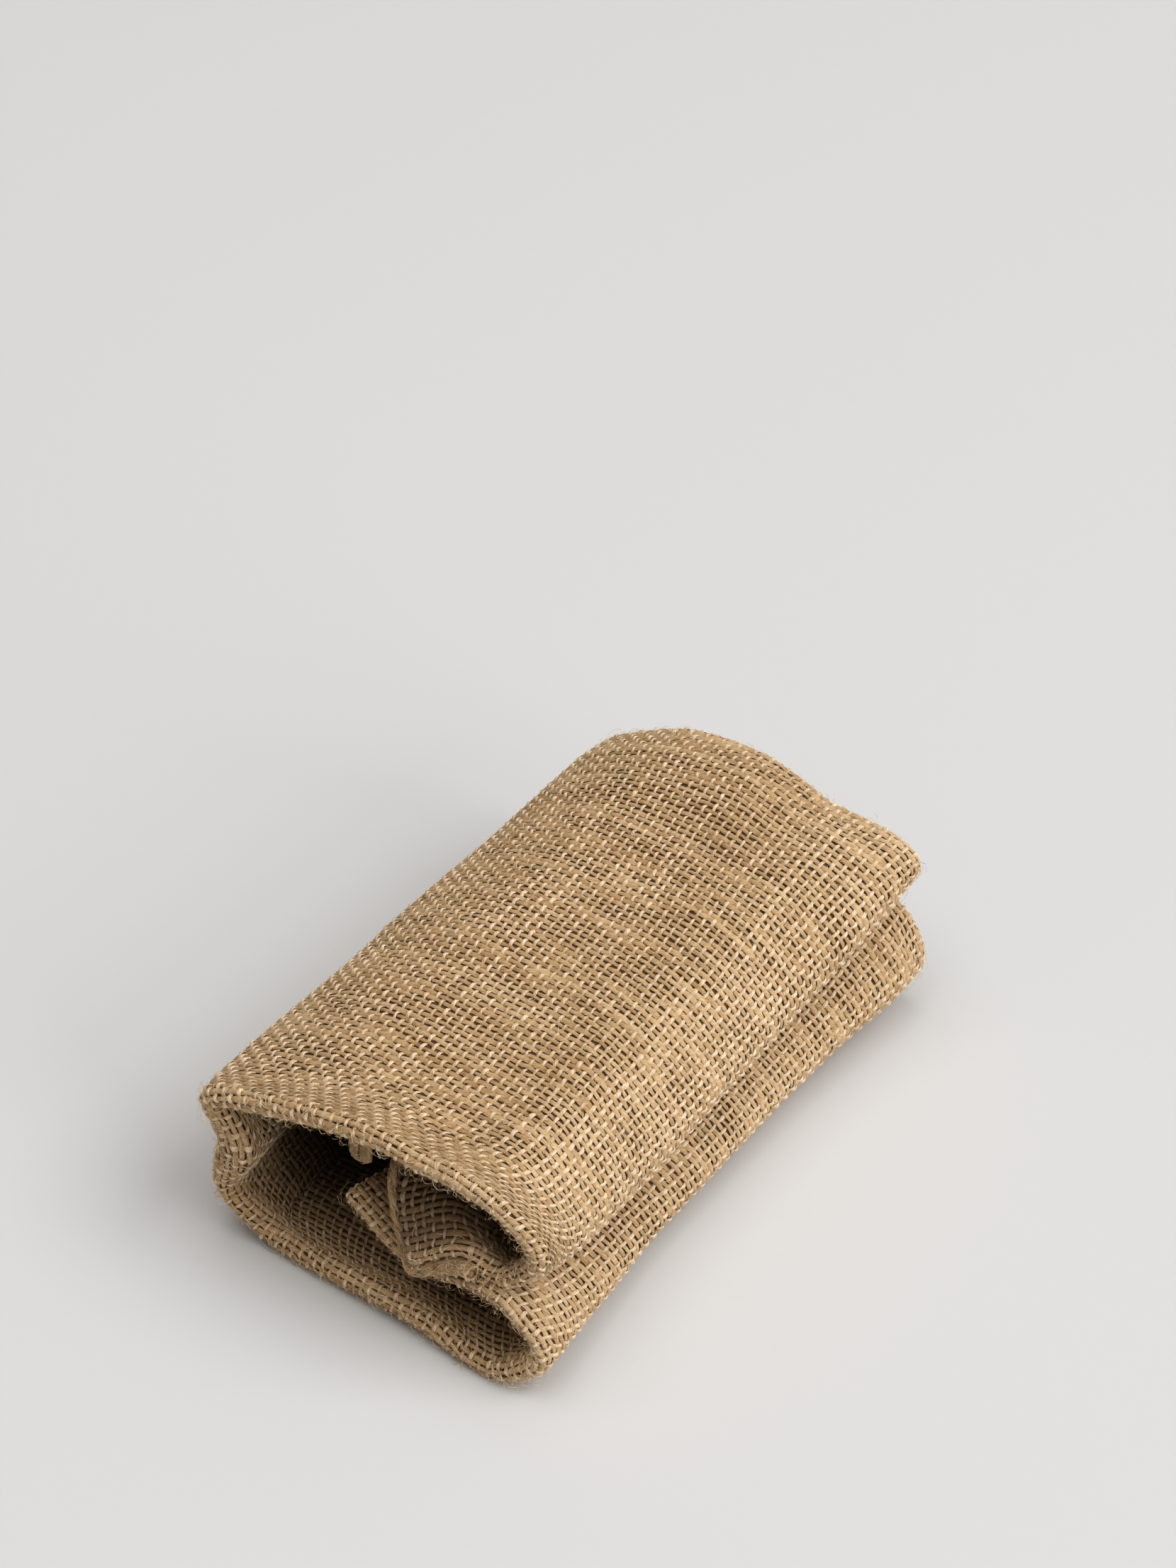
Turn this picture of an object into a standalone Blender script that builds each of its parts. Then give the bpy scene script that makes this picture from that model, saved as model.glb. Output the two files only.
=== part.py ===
"""A flat sack of woven jute, folded in thirds along its length, then folded across into a parcel.

The doubled cloth of the sack lies in three layers, one back-and-forth fold. Those layers are bent
together into an open C: a flap, an upper round fold, the top panel, a creased wall, the bottom
panel, a lower round fold and a tail. The flap and the tail lie inside, and the space left of
them runs from one end of the parcel to the other.

Frame: metres, +Z up, +Y along the parcel, origin under its middle on the surface it lies on.
Sizes are in millimetres up to the last step, which multiplies by MM.
"""

import math
from collections import namedtuple

import bmesh
import bpy
from mathutils import Vector

MM = 0.001

# The cloth: two plies of the sack lie together, and the three layers are a little apart.
PLY = 2.0
LAYER_PITCH = 2.8
HALF_STACK = LAYER_PITCH + PLY / 2
MIDDLE_TUCK = 9.0  # the middle layer's free edge stops this far short of the near fold

# The parcel along Y, measured between the lines where its end folds start.
NEAR_Y = -118.0
FAR_Y = 116.0
END_REACH = 45.0  # how far from an end its uneven outline is felt
MIDDLE_X = 1.7  # the outline's middle, which becomes the origin
MIDDLE_Y = -2.27
ROWS_Y = (-118.0, -114.5, -110.5, -106.0, -99.0, -85.0, -60.0, -25.0, 20.0, 62.0, 92.0, 108.0, 116.0)

# Where the bends of the cross-section lie beside each other.
ROUND_REACH = 17.0  # from a round fold's side to where it meets the flat panels
DENT_DROP = 17.0  # the wall's dent lies this far below the corner crease
BULGE_Z = 22.0
BULGE_INSET = 4.0
UNDER_REACH = 10.0  # the same, for the underside of the upper fold
FLAP_SHARE = 0.55  # how far the flap's middle bend lies from its free edge to the upper fold
FLAP_DROP_SHARE = 0.75
FLAP_ARCH = 8.0  # the middle bend stands this far above the height those shares give
TAIL_SHARE = 0.35
TAIL_SAG = 3.0
TOP_RIGHT_X = 27.0
TOP_MIDDLE_X = 0.0
TOP_LEFT_INSET = 30.0
BOTTOM_LEFT_INSET = 20.0
BOTTOM_MIDDLE_X = 20.0

# The overcast side seam, a round roll that lies just off the cloth's edge.
SEAM_RADIUS = 2.2
CLEARANCE = 0.4
SEAM_FAR_STOP = 4.0
SEAM_CORNER_TURNS = 3
SEAM_CORNER_PLACES = (0.5, 1.0, 1.33)  # bends along the near edge that the turned corner reaches

# The doubled-back end of a seam roll that hangs below the top panel.
SEAM_END_PLACE = 6.24  # in bends across the cloth, just left of the top panel's middle
SEAM_END_Y = -112.5
SEAM_END_WIDTH = 5.2
SEAM_END_DROP = 13.0
SEAM_END_TURNS = 6
SEAM_END_CLEARANCE = 0.9

# Cross-sections of the middle layer at stations along the parcel. corner is the crease at the top
# left, dent how far the wall is pushed in below it and buckle how far its inner layer stands off
# there. left_z to shoulder_z are heights of the top panel. upper_x and lower_x are the sides of the
# two round folds, side the upper one's widest height as a share of it, under_z its bottom and
# over_z the lower one's top. lift raises the bottom panel's left half, flap is the free edge of the
# upper flap and tail that of the lower one.
Station = namedtuple(
    "Station",
    "y corner_x corner_z dent buckle left_z top_z right_z shoulder_z upper_x side under_z over_z"
    " lower_x lift flap_x flap_z tail_x tail_z",
)
STATIONS = (
    Station(-118, -67.5, 62, 6, 7, 75.5, 83.0, 82.5, 81, 63.5, 0.35, 46.0, 34.0, 70, 3.0, 19, 39, -10, 45),
    Station(-112, -68.0, 62, 6, 7, 76.0, 83.0, 82.5, 81, 64.0, 0.35, 43.5, 35.0, 70, 1.2, 10, 61, -9, 44),
    Station(-103, -68.5, 62, 6, 6, 76.5, 82.0, 81.5, 80, 64.0, 0.35, 40.0, 33.5, 69, 0.0, 8, 66, -8, 42),
    Station(-85, -69.0, 61, 6, 5, 76.5, 80.0, 79.5, 77, 63.5, 0.32, 37.5, 29.0, 67, 0.0, 8, 63, -6, 39),
    Station(-36, -68.5, 60, 5, 2, 76.0, 77.0, 76.0, 71, 61.5, 0.30, 35.0, 26.5, 64, 0.0, 9, 58, -3, 36),
    Station(62, -68.5, 59, 5, 0, 76.0, 77.5, 76.5, 72, 62.0, 0.30, 42.0, 33.5, 67, 0.0, 9, 59, -3, 38),
    Station(100, -67.5, 60, 5, 0, 78.0, 83.0, 77.5, 75, 65.0, 0.55, 49.0, 40.5, 72, 0.0, 10, 60, -3, 41),
    Station(116, -65.0, 60, 4, 0, 77.5, 83.0, 75.0, 74, 65.0, 0.70, 51.5, 43.0, 72, 1.0, 11, 60, -2, 42),
)

# Bends of the cross-section from the flap's free edge to the tail's. steps is the number of cloth
# facets up to the next bend. near and far move the ends of the cloth along Y at that bend, which
# is why the parcel's ends aren't cut square.
Bend = namedtuple("Bend", "name steps near far")
BENDS = (
    Bend("flap_edge", 2, -1.0, -2.0),
    Bend("flap_middle", 3, 2.0, -1.0),
    Bend("upper_fold_under", 4, 6.0, 0.0),
    Bend("upper_fold_side", 4, 9.0, 1.0),
    Bend("upper_fold_over", 3, 4.0, -1.0),
    Bend("top_right", 3, 3.0, -1.5),
    Bend("top_middle", 3, 1.0, 0.0),
    Bend("top_left", 4, -1.0, -2.0),
    Bend("corner", 3, -2.0, -7.0),
    Bend("wall_dent", 3, -1.0, -2.0),
    Bend("wall_bulge", 4, -2.0, -1.0),
    Bend("bottom_left", 4, -0.8, 0.0),
    Bend("bottom_middle", 3, -0.5, 0.0),
    Bend("lower_fold_under", 4, -1.0, 0.0),
    Bend("lower_fold_side", 4, 3.0, 0.0),
    Bend("lower_fold_over", 4, 4.0, 0.0),
    Bend("tail_middle", 3, 4.0, 0.0),
    Bend("tail_edge", 0, 5.0, -2.0),
)

BEND_NAMES = [bend.name for bend in BENDS]
WALL_DENT_PLACE = BEND_NAMES.index("wall_dent")
BUCKLE_SPREAD = 1.3  # in bends, to each side of the dent

# Small steps that the cloth's directions are measured over.
PLACE_STEP = 0.03
Y_STEP = 0.5

# A row of cloth vertices: where it lies along the parcel, its side of the middle layer, from -1 at
# the inner layer to 1 at the outer one, and how far it reaches past the ends' lines.
Row = namedtuple("Row", "y side reach")


def mix(start, end, share):
    return start + (end - start) * share


def in_frame(point):
    """A point of the tables in metres, from the middle of the parcel's outline."""
    return (point - Vector((MIDDLE_X, MIDDLE_Y, 0.0))) * MM


def clear_scene():
    for old in list(bpy.data.objects):
        bpy.data.objects.remove(old, do_unlink=True)


def station_at(y):
    """The cross-section's sizes at y, on a smooth curve through the stations."""
    last = len(STATIONS) - 2
    index = 0
    while index < last and y > STATIONS[index + 1].y:
        index += 1
    before = STATIONS[max(index - 1, 0)]
    start = STATIONS[index]
    end = STATIONS[index + 1]
    after = STATIONS[min(index + 2, len(STATIONS) - 1)]
    span = end.y - start.y
    t = (y - start.y) / span
    sizes = []
    for low, a, b, high in zip(before, start, end, after):
        slope_a = (b - low) / (end.y - before.y) * span
        slope_b = (high - a) / (after.y - start.y) * span
        value = a + t * (slope_a + t * (3 * (b - a) - 2 * slope_a - slope_b))
        sizes.append(value + t**3 * (slope_a + slope_b - 2 * (b - a)))
    return Station(*sizes)


def section_points(size):
    """The bends' (x, z) at one cross-section, in the order of BENDS."""
    upper_in = size.upper_x - ROUND_REACH
    under_x = size.upper_x - UNDER_REACH
    lower_in = size.lower_x - ROUND_REACH
    return (
        (size.flap_x, size.flap_z),
        (
            mix(size.flap_x, under_x, FLAP_SHARE),
            mix(size.flap_z, size.under_z, FLAP_DROP_SHARE) + FLAP_ARCH,
        ),
        (under_x, size.under_z),
        (size.upper_x, mix(size.under_z, size.shoulder_z, size.side)),
        (upper_in, size.shoulder_z),
        (TOP_RIGHT_X, size.right_z),
        (TOP_MIDDLE_X, size.top_z),
        (size.corner_x + TOP_LEFT_INSET, size.left_z),
        (size.corner_x, size.corner_z),
        (size.corner_x + size.dent, size.corner_z - DENT_DROP),
        (size.corner_x + BULGE_INSET, BULGE_Z),
        (size.corner_x + BOTTOM_LEFT_INSET, HALF_STACK + size.lift),
        (BOTTOM_MIDDLE_X, HALF_STACK + size.lift),
        (lower_in, HALF_STACK),
        (size.lower_x, (HALF_STACK + size.over_z) / 2),
        (lower_in, size.over_z),
        (mix(size.tail_x, lower_in, TAIL_SHARE), size.over_z - TAIL_SAG),
        (size.tail_x, size.tail_z),
    )


def curve_point(points, place):
    """A point of the smooth curve through points, whose first two parts are x and z."""
    span = min(max(int(place), 0), len(points) - 2)
    start = points[span]
    end = points[span + 1]
    before = points[span - 1] if span > 0 else start * 2 - end
    after = points[span + 2] if span + 2 < len(points) else end * 2 - start
    knot_1 = math.sqrt((start - before).xy.length)
    knot_2 = knot_1 + math.sqrt((end - start).xy.length)
    knot_3 = knot_2 + math.sqrt((after - end).xy.length)
    t = mix(knot_1, knot_2, place - span)
    first = before.lerp(start, t / knot_1)
    second = start.lerp(end, (t - knot_1) / (knot_2 - knot_1))
    third = end.lerp(after, (t - knot_2) / (knot_3 - knot_2))
    first = first.lerp(second, t / knot_2)
    third = second.lerp(third, (t - knot_1) / (knot_3 - knot_1))
    return first.lerp(third, (t - knot_1) / (knot_2 - knot_1))


def end_weight(distance):
    """1 at an end of the parcel, fading smoothly to 0 over END_REACH."""
    share = min(max(1.0 - distance / END_REACH, 0.0), 1.0)
    return share * share * (3.0 - 2.0 * share)


def middle_layer(place, y):
    """A point of the middle layer: place counts bends across the cloth, y runs along it."""
    size = station_at(y)
    sections = zip(section_points(size), BENDS)
    points = [Vector((x, z, bend.near, bend.far)) for (x, z), bend in sections]
    x, z, near, far = curve_point(points, place)
    shifted = y + near * end_weight(y - NEAR_Y) + far * end_weight(FAR_Y - y)
    return Vector((x, shifted, max(z, HALF_STACK)))


def directions(place, y):
    """Unit vectors at a point of the middle layer: out of the C, along it and across it."""
    low = max(place - PLACE_STEP, 0.0)
    high = min(place + PLACE_STEP, len(BENDS) - 1.0)
    along = (middle_layer(place, y + Y_STEP) - middle_layer(place, y - Y_STEP)).normalized()
    across = (middle_layer(high, y) - middle_layer(low, y)).normalized()
    out = along.cross(across).normalized()
    return out, along, across


def buckle_at(place, y):
    """How far the inner layer stands off at a place, most at the wall's dent."""
    from_dent = abs(place - WALL_DENT_PLACE) / BUCKLE_SPREAD
    return station_at(y).buckle * (1.0 + math.cos(math.pi * min(from_dent, 1.0))) / 2


def cloth_point(place, row):
    out, along, _ = directions(place, row.y)
    offset = row.side * LAYER_PITCH - buckle_at(place, row.y) * (1.0 - row.side) / 2
    return middle_layer(place, row.y) + out * offset + along * row.reach


def end_fold(y, start, end, direction, turns):
    """Rows round an end fold that joins the layers on two sides."""
    radius = abs(end - start) / 2 * LAYER_PITCH
    rows = []
    for turn in range(1, turns):
        angle = math.pi * turn / turns
        side = mix(start, end, (1.0 - math.cos(angle)) / 2)
        rows.append(Row(y, side, direction * radius * math.sin(angle)))
    return rows


def cloth_rows():
    """Every row of the sack's length, from one free edge to the other."""
    inner = [Row(y, -1.0, 0.0) for y in reversed(ROWS_Y)]
    outer = [Row(y, 1.0, 0.0) for y in ROWS_Y]
    middle = [Row(y, 0.0, 0.0) for y in reversed(ROWS_Y) if y > NEAR_Y + MIDDLE_TUCK]
    near_fold = end_fold(NEAR_Y, -1.0, 1.0, -1, 4)
    far_fold = end_fold(FAR_Y, 1.0, 0.0, 1, 3)
    return inner + near_fold + outer + far_fold + middle


def cloth_places():
    places = [0.0]
    for index, bend in enumerate(BENDS):
        places += [index + (step + 1) / bend.steps for step in range(bend.steps)]
    return places


def material(name, colour, roughness):
    made = bpy.data.materials.new(name)
    made.use_nodes = True
    shader = made.node_tree.nodes["Principled BSDF"]
    shader.inputs["Base Color"].default_value = (*colour, 1.0)
    shader.inputs["Roughness"].default_value = roughness
    shader.inputs["Metallic"].default_value = 0.0
    made.diffuse_color = (*colour, 1.0)
    return made


def add_cloth(collection, finish):
    """The folded sack: a flat grid whose vertices are laid in their folds, then thickened."""
    rows = cloth_rows()
    places = cloth_places()
    cloth = bmesh.new()
    bmesh.ops.create_grid(cloth, x_segments=len(rows) - 1, y_segments=len(places) - 1, size=0.5)
    for vert in cloth.verts:
        row = rows[round((vert.co.x + 0.5) * (len(rows) - 1))]
        place = places[round((vert.co.y + 0.5) * (len(places) - 1))]
        vert.co = in_frame(cloth_point(place, row))
    mesh = bpy.data.meshes.new("bag_cloth")
    cloth.to_mesh(mesh)
    cloth.free()
    mesh.materials.append(finish)
    mesh.shade_smooth()
    bag = bpy.data.objects.new("bag_cloth", mesh)
    collection.objects.link(bag)
    thicken = bag.modifiers.new("ply", "SOLIDIFY")
    thicken.thickness = PLY * MM
    thicken.offset = 0.0
    thicken.use_even_offset = True
    thicken.use_quality_normals = True


def add_roll(name, points, collection, finish):
    """A round overcast seam roll along points."""
    curve = bpy.data.curves.new(name, "CURVE")
    curve.dimensions = "3D"
    curve.bevel_depth = SEAM_RADIUS * MM
    curve.bevel_resolution = 2
    curve.use_fill_caps = True
    spline = curve.splines.new("POLY")
    spline.points.add(len(points) - 1)
    for knot, point in zip(spline.points, points):
        knot.co = (*in_frame(point), 1.0)
    curve.materials.append(finish)
    roll = bpy.data.objects.new(name, curve)
    collection.objects.link(roll)


def side_seam_points():
    """Along the flap's free edge from the far end, round its near corner and along its near edge."""
    beside = SEAM_RADIUS + CLEARANCE
    points = []
    for y in reversed(ROWS_Y):
        across = directions(0.0, y)[2]
        points.append(middle_layer(0.0, min(y, FAR_Y - SEAM_FAR_STOP)) - across * beside)
    _, along, across = directions(0.0, NEAR_Y)
    corner = middle_layer(0.0, NEAR_Y) - along * HALF_STACK
    for turn in range(SEAM_CORNER_TURNS + 1):
        angle = math.pi / 2 * turn / SEAM_CORNER_TURNS
        points.append(corner - across * beside * math.cos(angle) - along * beside * math.sin(angle))
    for place in SEAM_CORNER_PLACES:
        along = directions(place, NEAR_Y)[1]
        points.append(middle_layer(place, NEAR_Y) - along * (HALF_STACK + beside))
    return points


def seam_end_points():
    """A narrow U that hangs from just below the top panel."""
    out = directions(SEAM_END_PLACE, SEAM_END_Y)[0]
    top = middle_layer(SEAM_END_PLACE, SEAM_END_Y) - out * (HALF_STACK + SEAM_END_CLEARANCE)
    half = SEAM_END_WIDTH / 2
    points = [top - Vector((half, 0.0, 0.0))]
    for turn in range(SEAM_END_TURNS + 1):
        angle = math.pi * turn / SEAM_END_TURNS
        drop = SEAM_END_DROP + half * math.sin(angle)
        points.append(top - Vector((half * math.cos(angle), 0.0, drop)))
    points.append(top + Vector((half, 0.0, 0.0)))
    return points


def main():
    clear_scene()
    collection = bpy.data.collections.new("burlap_bag")
    bpy.context.scene.collection.children.link(collection)
    jute = material("jute_cloth", (0.56, 0.38, 0.20), 0.95)
    cord = material("jute_seam", (0.46, 0.32, 0.18), 0.95)
    add_cloth(collection, jute)
    add_roll("seam_side", side_seam_points(), collection, cord)
    add_roll("seam_end", seam_end_points(), collection, cord)


main()
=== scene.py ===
import math

import bpy
import numpy as np
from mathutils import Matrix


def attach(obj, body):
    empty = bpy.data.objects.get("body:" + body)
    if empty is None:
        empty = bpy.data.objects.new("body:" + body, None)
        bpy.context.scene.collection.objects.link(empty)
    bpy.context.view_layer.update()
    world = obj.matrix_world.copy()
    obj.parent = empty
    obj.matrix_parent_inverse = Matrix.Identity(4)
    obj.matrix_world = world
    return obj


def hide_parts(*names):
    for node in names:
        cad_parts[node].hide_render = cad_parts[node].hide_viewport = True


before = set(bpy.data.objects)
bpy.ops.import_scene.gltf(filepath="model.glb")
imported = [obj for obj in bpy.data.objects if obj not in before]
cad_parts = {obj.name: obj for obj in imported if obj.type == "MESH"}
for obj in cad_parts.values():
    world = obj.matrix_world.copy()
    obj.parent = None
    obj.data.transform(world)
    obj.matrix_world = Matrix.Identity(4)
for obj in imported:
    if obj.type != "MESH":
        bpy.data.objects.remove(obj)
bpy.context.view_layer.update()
mm = 0.001
print("frame loaded")

# the folded sack's cross-sections in millimetres, as the frame's solid has them apart from "settle"
fold = {
    "halfStack": 3.8,  # from the middle layer to the solid's face
    "nearY": -118.0,
    "farY": 116.0,
    "tuckY": -109.0,  # where the middle layer's free edge lies
    "endReach": 45.0,  # how far from each end the shifts of the bends fade out
    "roundReach": 17.0,
    "dentDrop": 17.0,
    "bulgeZ": 22.0,
    "bulgeInset": 4.0,
    "underReach": 10.0,
    "flapShare": 0.55,
    "flapDropShare": 0.75,
    "flapArch": 8.0,
    "tailShare": 0.35,
    "tailSag": 3.0,
    "settle": 0.75,  # how far each round fold's soft face sinks towards the other
    "topRightX": 27.0,
    "topMiddleX": 0.0,
    "topLeftInset": 30.0,
    "bottomLeftInset": 20.0,
    "bottomMiddleX": 20.0,
    "dentPlace": 9,  # the bend where the wall's inner layer buckles inwards
    "buckleSpread": 1.3,
    "farFoldMiddle": 1.4,  # the far fold turns round this offset, between the outer and middle layers
    "origin": np.array([1.7, -2.27, 0.0]),
}
# one row for each station along the parcel, with the sizes that its cross-section is drawn from
stationNames = (
    "y cornerX cornerZ dent buckle leftZ topZ rightZ shoulderZ upperX side underZ overZ"
    " lowerX lift flapX flapZ tailX tailZ"
).split()
stations = np.array(
    [
        (-118, -67.5, 62, 6, 7, 75.5, 83.0, 82.5, 81, 63.5, 0.35, 46.0, 34.0, 70, 3.0, 19, 39, -10, 45),
        (-112, -68.0, 62, 6, 7, 76.0, 83.0, 82.5, 81, 64.0, 0.35, 43.5, 35.0, 70, 1.2, 10, 61, -9, 44),
        (-103, -68.5, 62, 6, 6, 76.5, 82.0, 81.5, 80, 64.0, 0.35, 40.0, 33.5, 69, 0.0, 8, 66, -8, 42),
        (-85, -69.0, 61, 6, 5, 76.5, 80.0, 79.5, 77, 63.5, 0.32, 37.5, 29.0, 67, 0.0, 8, 63, -6, 39),
        (-36, -68.5, 60, 5, 2, 76.0, 77.0, 76.0, 71, 61.5, 0.30, 35.0, 26.5, 64, 0.0, 9, 58, -3, 36),
        (62, -68.5, 59, 5, 0, 76.0, 77.5, 76.5, 72, 62.0, 0.30, 42.0, 33.5, 67, 0.0, 9, 59, -3, 38),
        (100, -67.5, 60, 5, 0, 78.0, 83.0, 77.5, 75, 65.0, 0.55, 49.0, 40.5, 72, 0.0, 10, 60, -3, 41),
        (116, -65.0, 60, 4, 0, 77.5, 83.0, 75.0, 74, 65.0, 0.70, 51.5, 43.0, 72, 1.0, 11, 60, -2, 42),
    ]
)
# how far each bend's near and far ends are moved along the parcel
bendShifts = {
    "flapEdge": (-1.0, -2.0),
    "flapMiddle": (2.0, -1.0),
    "upperFoldUnder": (6.0, 0.0),
    "upperFoldSide": (9.0, 1.0),
    "upperFoldOver": (4.0, -1.0),
    "topRight": (3.0, -1.5),
    "topMiddle": (1.0, 0.0),
    "topLeft": (-1.0, -2.0),
    "corner": (-2.0, -7.0),
    "wallDent": (-1.0, -2.0),
    "wallBulge": (-2.0, -1.0),
    "bottomLeft": (-0.8, 0.0),
    "bottomMiddle": (-0.5, 0.0),
    "lowerFoldUnder": (-1.0, 0.0),
    "lowerFoldSide": (3.0, 0.0),
    "lowerFoldOver": (4.0, 0.0),
    "tailMiddle": (4.0, 0.0),
    "tailEdge": (5.0, -2.0),
}
lastBend = len(bendShifts) - 1


def mix(start, end, share):
    return start + (end - start) * share


def smooth(share):
    share = np.clip(share, 0.0, 1.0)
    return share * share * (3.0 - 2.0 * share)


def unit(vectors):
    return vectors / np.maximum(np.linalg.norm(vectors, axis=-1, keepdims=True), 1e-9)


# smooth noise read from one table; the strides keep yarns, places and seeds apart in it
noiseTable = np.random.default_rng(41).uniform(-1, 1, 8192)
noiseStrides = {"yarn": 379, "yarnSeed": 1031, "across": 613, "along": 127, "waveSeed": 2011}


def yarnNoise(yarn, t, seed):
    # a different run of noise along each yarn
    low = np.floor(t)
    part = smooth(t - low)
    key = yarn.astype(int) * noiseStrides["yarn"] + low.astype(int) + seed * noiseStrides["yarnSeed"]
    key = key % len(noiseTable)
    nextKey = (key + 1) % len(noiseTable)
    return mix(noiseTable[key], noiseTable[nextKey], part)


def waveNoise(u, v, seed):
    # a slow wave over the whole cloth
    i = np.floor(u)
    j = np.floor(v)
    a = smooth(u - i)
    b = smooth(v - j)

    def corner(di, dj):
        key = (i.astype(int) + di) * noiseStrides["across"] + (j.astype(int) + dj) * noiseStrides["along"]
        return noiseTable[(key + seed * noiseStrides["waveSeed"]) % len(noiseTable)]

    return mix(mix(corner(0, 0), corner(1, 0), a), mix(corner(0, 1), corner(1, 1), a), b)


def sizesAt(y):
    # the stations' sizes, blended by a cubic curve
    last = len(stations) - 2
    index = np.clip(np.searchsorted(stations[:, 0], y) - 1, 0, last)
    before = stations[np.maximum(index - 1, 0)]
    start = stations[index]
    end = stations[index + 1]
    after = stations[np.minimum(index + 2, last + 1)]
    span = end[:, :1] - start[:, :1]
    t = (y[:, None] - start[:, :1]) / span
    slopeStart = (end - before) / (end[:, :1] - before[:, :1]) * span
    slopeEnd = (after - start) / (after[:, :1] - start[:, :1]) * span
    rise = end - start
    bend = slopeStart + t * (3 * rise - 2 * slopeStart - slopeEnd)
    rows = start + t * bend + t**3 * (slopeStart + slopeEnd - 2 * rise)
    return dict(zip(stationNames, rows.T))


def sectionPoints(y):
    # each cross-section's bends, from the flap's edge to the tail's edge
    size = sizesAt(y)
    size["underZ"] = size["underZ"] - fold["settle"]
    size["overZ"] = size["overZ"] + fold["settle"]
    half = fold["halfStack"]
    upperIn = size["upperX"] - fold["roundReach"]
    underX = size["upperX"] - fold["underReach"]
    lowerIn = size["lowerX"] - fold["roundReach"]
    flapDrop = mix(size["flapZ"], size["underZ"], fold["flapDropShare"]) + fold["flapArch"]
    points = [
        (size["flapX"], size["flapZ"]),
        (mix(size["flapX"], underX, fold["flapShare"]), flapDrop),
        (underX, size["underZ"]),
        (size["upperX"], mix(size["underZ"], size["shoulderZ"], size["side"])),
        (upperIn, size["shoulderZ"]),
        (fold["topRightX"], size["rightZ"]),
        (fold["topMiddleX"], size["topZ"]),
        (size["cornerX"] + fold["topLeftInset"], size["leftZ"]),
        (size["cornerX"], size["cornerZ"]),
        (size["cornerX"] + size["dent"], size["cornerZ"] - fold["dentDrop"]),
        (size["cornerX"] + fold["bulgeInset"], fold["bulgeZ"]),
        (size["cornerX"] + fold["bottomLeftInset"], half + size["lift"]),
        (fold["bottomMiddleX"], half + size["lift"]),
        (lowerIn, half),
        (size["lowerX"], (half + size["overZ"]) / 2),
        (lowerIn, size["overZ"]),
        (mix(size["tailX"], lowerIn, fold["tailShare"]), size["overZ"] - fold["tailSag"]),
        (size["tailX"], size["tailZ"]),
    ]
    rows = []
    for (x, z), (near, far) in zip(points, bendShifts.values()):
        rows.append([x + 0 * y, z + 0 * y, near + 0 * y, far + 0 * y])
    return np.array(rows).transpose(2, 0, 1)


def middleLayer(y, places):
    # a centripetal curve through the bends of each cross-section
    points = sectionPoints(y)
    span = np.clip(places.astype(int), 0, lastBend - 1)
    start = points[:, span]
    end = points[:, span + 1]
    before = np.where((span > 0)[:, None], points[:, np.maximum(span - 1, 0)], start * 2 - end)
    atEnd = (span + 2 > lastBend)[:, None]
    after = np.where(atEnd, end * 2 - start, points[:, np.minimum(span + 2, lastBend)])

    def knotStep(a, b):
        return np.sqrt(np.linalg.norm((b - a)[..., :2], axis=-1))[..., None]

    knot1 = knotStep(before, start)
    knot2 = knot1 + knotStep(start, end)
    knot3 = knot2 + knotStep(end, after)
    t = mix(knot1, knot2, (places - span)[:, None])
    first = mix(before, start, t / knot1)
    second = mix(start, end, (t - knot1) / (knot2 - knot1))
    third = mix(end, after, (t - knot2) / (knot3 - knot2))
    first = mix(first, second, t / knot2)
    third = mix(second, third, (t - knot1) / (knot3 - knot1))
    x, z, near, far = np.moveaxis(mix(first, third, (t - knot1) / (knot2 - knot1)), -1, 0)
    nearWeight = smooth(1.0 - (y - fold["nearY"]) / fold["endReach"])[:, None]
    farWeight = smooth(1.0 - (fold["farY"] - y) / fold["endReach"])[:, None]
    shifted = y[:, None] + near * nearWeight + far * farWeight
    return np.stack([x, shifted, np.maximum(z, fold["halfStack"])], axis=-1)


# the fold sampled on a fine net: rows along the parcel, columns evenly round the outer side
net = {
    "faceOffset": 2.9,  # from the middle layer to the line that the yarns weave about
    "wrinkles": 0.55,  # height of the slow unevenness of the cloth
    "rimWaves": 0.9,  # more of it near both ends
    "rimReach": 26.0,
    "slowWaves": (0.8, 38.0),  # waves to a bend, and millimetres along to a wave
    "quickWaves": (1.9, 17.0),
    "quickShift": 5,
    "quickShare": 0.6,
    "bottomPlaces": (10.6, 14.2),  # the bottom lies flat between these bends
    "bottomBlend": 0.8,
    "rowStep": 0.5,
    "placeSteps": 40,
    "columnStep": 0.85,
    "pathStep": 0.8,
    "nearFoldSteps": 26,
    "farFoldSteps": 14,
    "rimPuff": 0.8,  # how much fuller the near fold is
    "puffReach": 18.0,
    "edgeRun": 3.2,  # length of cloth that turns round each free edge
    "flapEdgeReach": 1.0,
    "tailEdgeReach": 1.6,
    "wovenShare": 0.6,  # share of the run from mid-length to the path's end that the woven face needs
}
# the spot under the top panel that the seam's end hangs from
tuftRoot = {"y": -112.0, "place": 6.24, "depth": 4.7}


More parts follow.
